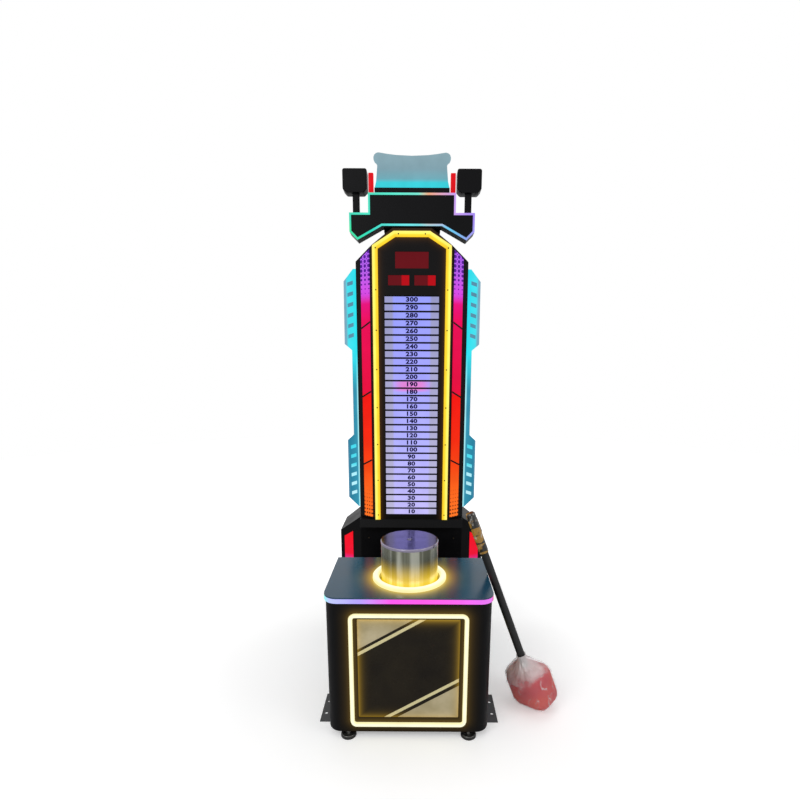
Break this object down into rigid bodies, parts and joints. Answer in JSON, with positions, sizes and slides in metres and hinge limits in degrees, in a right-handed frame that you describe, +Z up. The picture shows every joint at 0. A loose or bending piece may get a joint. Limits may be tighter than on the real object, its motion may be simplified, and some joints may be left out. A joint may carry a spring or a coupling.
{
  "type": "high striker strength tester machine",
  "caption": "Arcade high striker: low lit strike base with a sprung round pad, a tall lit score tower with side fins and header, and a leaning mallet.",
  "frame": {"origin": "on the floor at the middle of the bounding box", "axes": "+Z up, front towards -Y, +X to the right seen from the front"},
  "size_m": [1.1516, 1.081, 2.57],
  "materials": {
    "black_powder_coat": "satin black powder coat",
    "plate_lacquer": "satin dark grey lacquer",
    "brushed_steel": "brushed",
    "zinc_steel": "zinc plated",
    "spring_steel": "oiled spring steel",
    "black_rubber": "matt",
    "inlet_plastic": "moulded",
    "pad_disc": "smooth dark striking disc",
    "warm_light": "lit warm diffuser",
    "yellow_light": "lit yellow diffuser",
    "cyan_light": "edge-lit cyan acrylic",
    "side_light": "light bars on a dark carrier",
    "colour_light": "lit colour-changing diffuser",
    "scale_acrylic": "lit lilac acrylic with dark lines",
    "facet_light": "lit colour-changing acrylic",
    "red_light": "lit red diffuser",
    "switch_red": "moulded",
    "display_window": "dark red display window",
    "marquee_acrylic": "grey-blue acrylic",
    "art_panel": "printed gold and black",
    "circuit_board": "solder mask",
    "mallet_red": "red head in clear film",
    "mallet_grip": "wrapped grip"
  },
  "bodies": {
    "machine": {"base_casing": "black_powder_coat", "base_top_plate": "plate_lacquer", "block_ornament_left": "black_powder_coat", "block_ornament_right": "black_powder_coat", "border_light": "yellow_light", "bridge_duct": "black_powder_coat", "control_board": "circuit_board", "display_module": "display_window", "facet_light_left": "facet_light", "facet_light_right": "facet_light", "floor_bracket_base_left": "black_powder_coat", "floor_bracket_base_right": "black_powder_coat", "floor_bracket_tower_left": "black_powder_coat", "floor_bracket_tower_right": "black_powder_coat", "foot_casing": "black_powder_coat", "foot_hinge": "zinc_steel", "foot_light_left": "facet_light", "foot_light_right": "facet_light", "force_sensor": "zinc_steel", "front_bezel": "black_powder_coat", "front_light_tube": "warm_light", "front_panel": "art_panel", "header_box": "black_powder_coat", "header_light": "colour_light", "header_neck": "black_powder_coat", "impact_frame": "black_powder_coat", "mains_inlet": "inlet_plastic", "marquee": "marquee_acrylic", "marquee_holder": "black_powder_coat", "pad_buffer": "black_rubber", "pad_guide": "brushed_steel", "pad_spring": "spring_steel", "plate_edge_light": "colour_light", "power_supply": "zinc_steel", "rear_hinge": "zinc_steel", "red_bar_left": "red_light", "red_bar_right": "red_light", "ring_light": "warm_light", "score_scale": "scale_acrylic", "side_lights_left": "side_light", "side_lights_right": "side_light", "side_wing_left": "cyan_light", "side_wing_right": "cyan_light", "tower_casing": "black_powder_coat"},
    "strike_pad": {"pad_drum": "brushed_steel", "pad_top_disc": "pad_disc", "pad_bolt": "zinc_steel", "pad_shaft": "brushed_steel"},
    "foot_door": {"foot_door": "black_powder_coat"},
    "foot_lock": {"foot_lock": "zinc_steel"},
    "rear_door": {"rear_door": "black_powder_coat"},
    "rear_lock": {"rear_lock": "zinc_steel"},
    "power_switch": {"power_switch": "switch_red"},
    "mallet": {"mallet_head": "mallet_red", "mallet_handle": "black_rubber", "mallet_grip": "mallet_grip"},
    "levelling_foot_base_left": {"levelling_foot_base_left": "zinc_steel"},
    "levelling_foot_base_right": {"levelling_foot_base_right": "zinc_steel"},
    "levelling_foot_tower_left": {"levelling_foot_tower_left": "zinc_steel"},
    "levelling_foot_tower_right": {"levelling_foot_tower_right": "zinc_steel"}
  },
  "joints": [
    {"name": "pad_press", "type": "slide", "parent": "machine", "child": "strike_pad", "axis": [0, 0, -1], "range_m": [0, 0.025], "stiffness_N_per_m": 20000, "springref_m": -0.02, "deforming": ["pad_spring"]},
    {"name": "foot_door_hinge", "type": "hinge", "parent": "machine", "child": "foot_door", "pos_m": [-0.11846, 0.22721, 0.4358], "axis": [1, 0, 0], "range_deg": [0, 90]},
    {"name": "foot_lock_turn", "type": "hinge", "parent": "foot_door", "child": "foot_lock", "pos_m": [-0.11846, 0.23251, 0.6757], "axis": [0, 1, 0], "range_deg": [0, 90]},
    {"name": "rear_door_hinge", "type": "hinge", "parent": "machine", "child": "rear_door", "pos_m": [-0.31596, 0.51641, 1.33], "axis": [0, 0, 1], "range_deg": [0, 110]},
    {"name": "rear_lock_turn", "type": "hinge", "parent": "rear_door", "child": "rear_lock", "pos_m": [0.03554, 0.51111, 1.33], "axis": [0, -1, 0], "range_deg": [0, 90]},
    {"name": "power_switch_rock", "type": "hinge", "parent": "machine", "child": "power_switch", "pos_m": [-0.29846, 0.53621, 0.2525], "axis": [1, 0, 0], "range_deg": [0, 20]},
    {"name": "mallet_lift", "type": "slide", "parent": "machine", "child": "mallet", "axis": [0, 0, 1], "range_m": [0, 0.4]},
    {"name": "levelling_foot_base_left_screw", "type": "slide", "parent": "machine", "child": "levelling_foot_base_left", "axis": [0, 0, -1], "range_m": [0, 0.015]},
    {"name": "levelling_foot_base_right_screw", "type": "slide", "parent": "machine", "child": "levelling_foot_base_right", "axis": [0, 0, -1], "range_m": [0, 0.015]},
    {"name": "levelling_foot_tower_left_screw", "type": "slide", "parent": "machine", "child": "levelling_foot_tower_left", "axis": [0, 0, -1], "range_m": [0, 0.015]},
    {"name": "levelling_foot_tower_right_screw", "type": "slide", "parent": "machine", "child": "levelling_foot_tower_right", "axis": [0, 0, -1], "range_m": [0, 0.015]}
  ]
}
